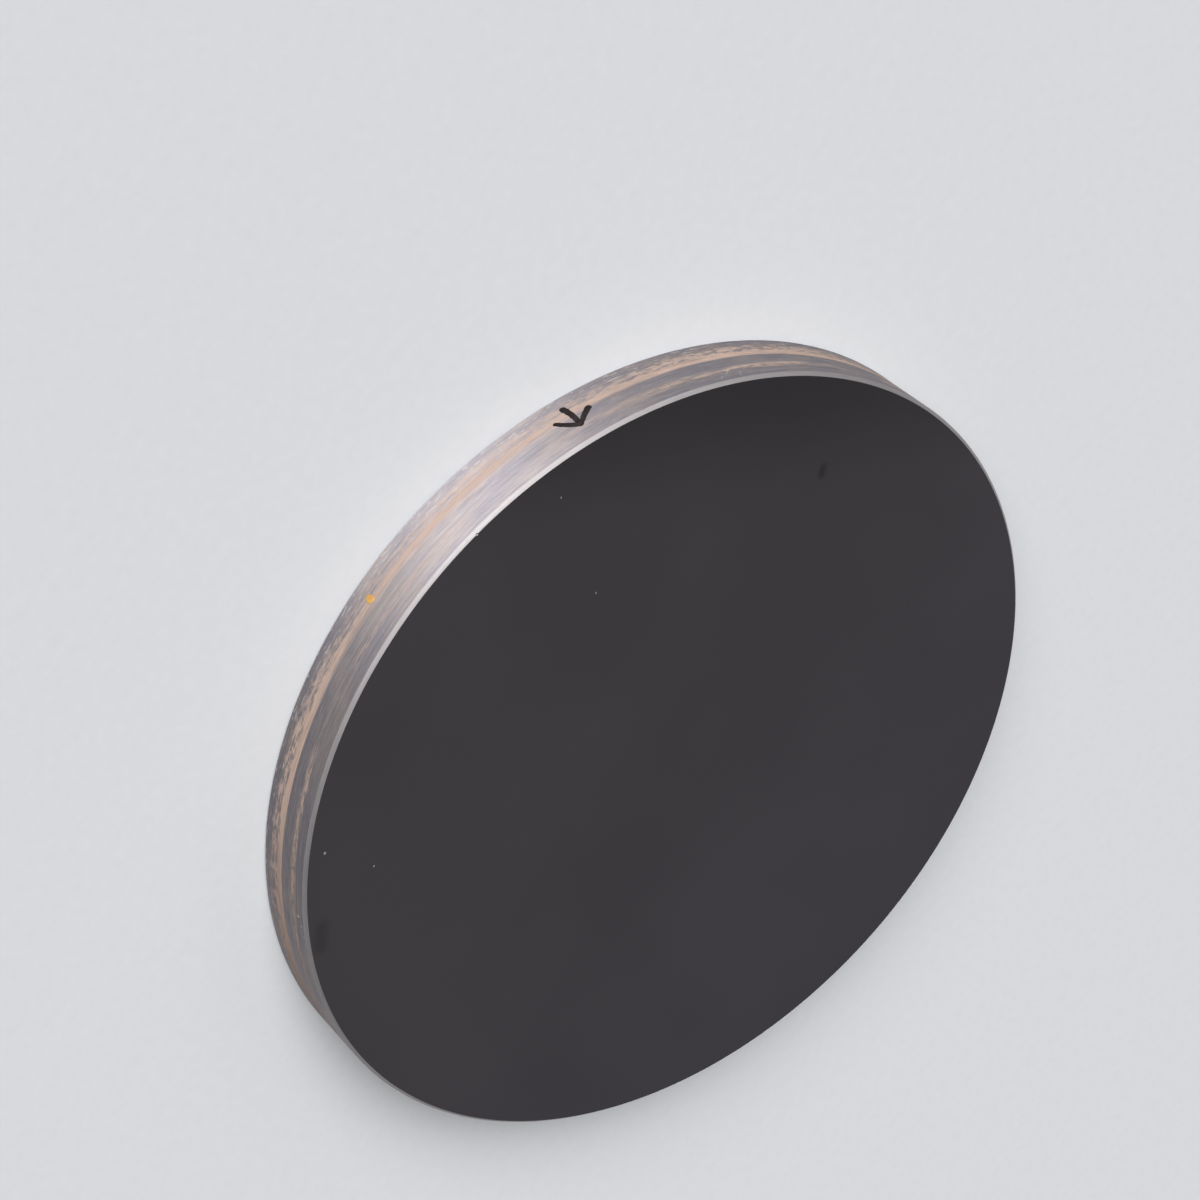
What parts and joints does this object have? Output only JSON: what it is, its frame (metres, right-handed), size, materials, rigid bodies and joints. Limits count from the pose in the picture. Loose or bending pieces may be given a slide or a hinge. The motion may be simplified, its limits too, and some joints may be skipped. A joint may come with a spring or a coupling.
{
  "type": "infrared optical window",
  "caption": "Thick round optical window of opaque dark crystal: a flat disc with two polished parallel faces, a ground cylindrical edge and narrow bevels.",
  "frame": {"origin": "centre of the back face, on which the window lies at rest", "axes": "+Z along the optical axis, out of the front face; X and Y lie in the back face and are free, because the disc is round"},
  "size_m": [0.1, 0.1, 0.009],
  "materials": {
    "coated_crystal": "opaque dark grey infrared crystal, faces polished and coated",
    "ground_edge": "fine-ground crystal edge with tan polishing residue",
    "pen_ink": "felt-pen ink",
    "marking_paint": "dab of yellow-orange paint"
  },
  "bodies": {
    "root": {"window_disc": "coated_crystal"}
  },
  "joints": []
}
